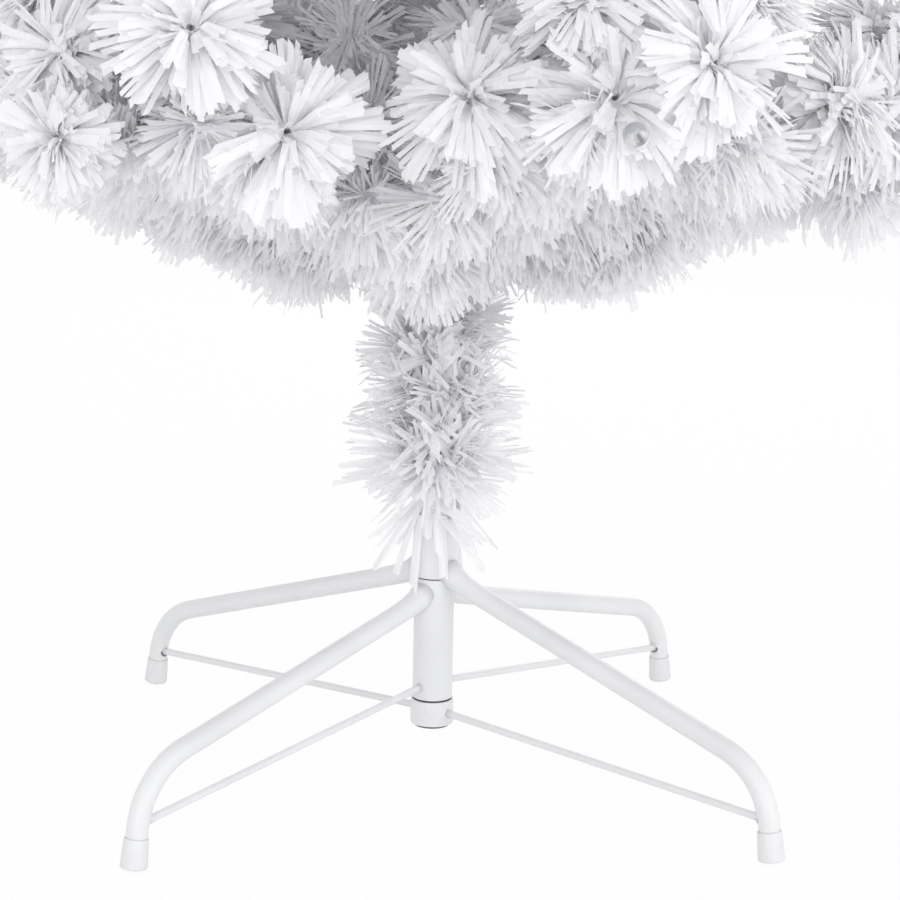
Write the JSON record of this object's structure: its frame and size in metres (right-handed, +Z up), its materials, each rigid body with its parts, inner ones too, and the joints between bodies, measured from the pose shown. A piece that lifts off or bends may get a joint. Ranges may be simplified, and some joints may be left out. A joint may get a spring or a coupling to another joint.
{
  "type": "fibre optic christmas tree",
  "caption": "White artificial fibre optic Christmas tree with hinged tinsel branches on a two-part pole, standing in a folding steel cross-leg stand.",
  "frame": {"origin": "on the floor, under the middle of the pole", "axes": "+Z up along the pole; +X to the right and -Y to the front as the picture shows the tree"},
  "size_m": [0.9196, 0.8664, 1.501],
  "materials": {
    "white_powder_coat": "smooth white powder coat, satin",
    "white_pole_paint": "white enamel, satin",
    "white_rubber": "matt white rubber",
    "white_hinge_plastic": "moulded white plastic",
    "branch_wire": "bare drawn wire",
    "white_tinsel": "cut white plastic strips, soft sheen"
  },
  "bodies": {
    "root": {"socket_tube": "white_pole_paint", "upper_collar": "white_powder_coat", "bottom_ring": "white_powder_coat", "leg_front_right": "white_powder_coat", "leg_back_left": "white_powder_coat", "brace_front_right": "white_powder_coat", "brace_back_left": "white_powder_coat", "foot_front_right": "white_rubber", "foot_back_left": "white_rubber"},
    "lower_frame": {"fold_sleeve": "white_powder_coat", "leg_front_left": "white_powder_coat", "leg_back_right": "white_powder_coat", "brace_front_left": "white_powder_coat", "brace_back_right": "white_powder_coat", "foot_front_left": "white_rubber", "foot_back_right": "white_rubber"},
    "trunk_lower": {"pole_lower": "white_pole_paint", "cable_gland": "white_rubber", "trunk_garland": "white_tinsel", "hinge_ring_1": "white_hinge_plastic", "hinge_ring_2": "white_hinge_plastic"},
    "trunk_upper": {"pole_upper": "white_pole_paint", "crown_foliage": "white_tinsel", "hinge_ring_3": "white_hinge_plastic"},
    "branch_1_1": {"wire_1_1": "branch_wire", "foliage_1_1": "white_tinsel"},
    "branch_1_2": {"wire_1_2": "branch_wire", "foliage_1_2": "white_tinsel"},
    "branch_1_3": {"wire_1_3": "branch_wire", "foliage_1_3": "white_tinsel"},
    "branch_1_4": {"wire_1_4": "branch_wire", "foliage_1_4": "white_tinsel"},
    "branch_1_5": {"wire_1_5": "branch_wire", "foliage_1_5": "white_tinsel"},
    "branch_1_6": {"wire_1_6": "branch_wire", "foliage_1_6": "white_tinsel"},
    "branch_2_1": {"wire_2_1": "branch_wire", "foliage_2_1": "white_tinsel"},
    "branch_2_2": {"wire_2_2": "branch_wire", "foliage_2_2": "white_tinsel"},
    "branch_2_3": {"wire_2_3": "branch_wire", "foliage_2_3": "white_tinsel"},
    "branch_2_4": {"wire_2_4": "branch_wire", "foliage_2_4": "white_tinsel"},
    "branch_2_5": {"wire_2_5": "branch_wire", "foliage_2_5": "white_tinsel"},
    "branch_2_6": {"wire_2_6": "branch_wire", "foliage_2_6": "white_tinsel"},
    "branch_3_1": {"wire_3_1": "branch_wire", "foliage_3_1": "white_tinsel"},
    "branch_3_2": {"wire_3_2": "branch_wire", "foliage_3_2": "white_tinsel"},
    "branch_3_3": {"wire_3_3": "branch_wire", "foliage_3_3": "white_tinsel"},
    "branch_3_4": {"wire_3_4": "branch_wire", "foliage_3_4": "white_tinsel"},
    "branch_3_5": {"wire_3_5": "branch_wire", "foliage_3_5": "white_tinsel"},
    "branch_3_6": {"wire_3_6": "branch_wire", "foliage_3_6": "white_tinsel"}
  },
  "joints": [
    {"name": "stand_fold", "type": "hinge", "parent": "root", "child": "lower_frame", "pos_m": [0, 0, 0.106], "axis": [0, 0, 1], "range_deg": [0, 80]},
    {"name": "trunk_lift", "type": "slide", "parent": "root", "child": "trunk_lower", "axis": [0, 0, 1], "range_m": [0, 0.15]},
    {"name": "upper_pole_lift", "type": "slide", "parent": "trunk_lower", "child": "trunk_upper", "axis": [0, 0, 1], "range_m": [0, 0.05]},
    {"name": "branch_1_1_fold", "type": "hinge", "parent": "trunk_lower", "child": "branch_1_1", "pos_m": [0.00821, -0.01933, 0.415], "axis": [-0.9205, -0.3907, 0], "range_deg": [0, 60], "deforming": ["foliage_1_1"]},
    {"name": "branch_1_2_fold", "type": "hinge", "parent": "trunk_lower", "child": "branch_1_2", "pos_m": [0.02084, -0.00256, 0.415], "axis": [-0.1219, -0.9925, 0], "range_deg": [0, 60], "deforming": ["foliage_1_2"]},
    {"name": "branch_1_3_fold", "type": "hinge", "parent": "trunk_lower", "child": "branch_1_3", "pos_m": [0.01264, 0.01677, 0.415], "axis": [0.7986, -0.6018, 0], "range_deg": [0, 60], "deforming": ["foliage_1_3"]},
    {"name": "branch_1_4_fold", "type": "hinge", "parent": "trunk_lower", "child": "branch_1_4", "pos_m": [-0.00821, 0.01933, 0.415], "axis": [0.9205, 0.3907, 0], "range_deg": [0, 60], "deforming": ["foliage_1_4"]},
    {"name": "branch_1_5_fold", "type": "hinge", "parent": "trunk_lower", "child": "branch_1_5", "pos_m": [-0.02084, 0.00256, 0.415], "axis": [0.1219, 0.9925, 0], "range_deg": [0, 60], "deforming": ["foliage_1_5"]},
    {"name": "branch_1_6_fold", "type": "hinge", "parent": "trunk_lower", "child": "branch_1_6", "pos_m": [-0.01264, -0.01677, 0.415], "axis": [-0.7986, 0.6018, 0], "range_deg": [0, 60], "deforming": ["foliage_1_6"]},
    {"name": "branch_2_1_fold", "type": "hinge", "parent": "trunk_lower", "child": "branch_2_1", "pos_m": [0.01432, -0.01536, 0.655], "axis": [-0.7314, -0.682, 0], "range_deg": [0, 60], "deforming": ["foliage_2_1"]},
    {"name": "branch_2_2_fold", "type": "hinge", "parent": "trunk_lower", "child": "branch_2_2", "pos_m": [0.02046, 0.00472, 0.655], "axis": [0.225, -0.9744, 0], "range_deg": [0, 60], "deforming": ["foliage_2_2"]},
    {"name": "branch_2_3_fold", "type": "hinge", "parent": "trunk_lower", "child": "branch_2_3", "pos_m": [0.00614, 0.02008, 0.655], "axis": [0.9563, -0.2924, 0], "range_deg": [0, 60], "deforming": ["foliage_2_3"]},
    {"name": "branch_2_4_fold", "type": "hinge", "parent": "trunk_lower", "child": "branch_2_4", "pos_m": [-0.01432, 0.01536, 0.655], "axis": [0.7314, 0.682, 0], "range_deg": [0, 60], "deforming": ["foliage_2_4"]},
    {"name": "branch_2_5_fold", "type": "hinge", "parent": "trunk_lower", "child": "branch_2_5", "pos_m": [-0.02046, -0.00472, 0.655], "axis": [-0.225, 0.9744, 0], "range_deg": [0, 60], "deforming": ["foliage_2_5"]},
    {"name": "branch_2_6_fold", "type": "hinge", "parent": "trunk_lower", "child": "branch_2_6", "pos_m": [-0.00614, -0.02008, 0.655], "axis": [-0.9563, 0.2924, 0], "range_deg": [0, 60], "deforming": ["foliage_2_6"]},
    {"name": "branch_3_1_fold", "type": "hinge", "parent": "trunk_upper", "child": "branch_3_1", "pos_m": [0.01871, -0.00953, 0.895], "axis": [-0.454, -0.891, 0], "range_deg": [0, 60], "deforming": ["foliage_3_1"]},
    {"name": "branch_3_2_fold", "type": "hinge", "parent": "trunk_upper", "child": "branch_3_2", "pos_m": [0.01761, 0.01144, 0.895], "axis": [0.5446, -0.8387, 0], "range_deg": [0, 60], "deforming": ["foliage_3_2"]},
    {"name": "branch_3_3_fold", "type": "hinge", "parent": "trunk_upper", "child": "branch_3_3", "pos_m": [-0.0011, 0.02097, 0.895], "axis": [0.9986, 0.0523, 0], "range_deg": [0, 60], "deforming": ["foliage_3_3"]},
    {"name": "branch_3_4_fold", "type": "hinge", "parent": "trunk_upper", "child": "branch_3_4", "pos_m": [-0.01871, 0.00953, 0.895], "axis": [0.454, 0.891, 0], "range_deg": [0, 60], "deforming": ["foliage_3_4"]},
    {"name": "branch_3_5_fold", "type": "hinge", "parent": "trunk_upper", "child": "branch_3_5", "pos_m": [-0.01761, -0.01144, 0.895], "axis": [-0.5446, 0.8387, 0], "range_deg": [0, 60], "deforming": ["foliage_3_5"]},
    {"name": "branch_3_6_fold", "type": "hinge", "parent": "trunk_upper", "child": "branch_3_6", "pos_m": [0.0011, -0.02097, 0.895], "axis": [-0.9986, -0.0523, 0], "range_deg": [0, 60], "deforming": ["foliage_3_6"]}
  ]
}
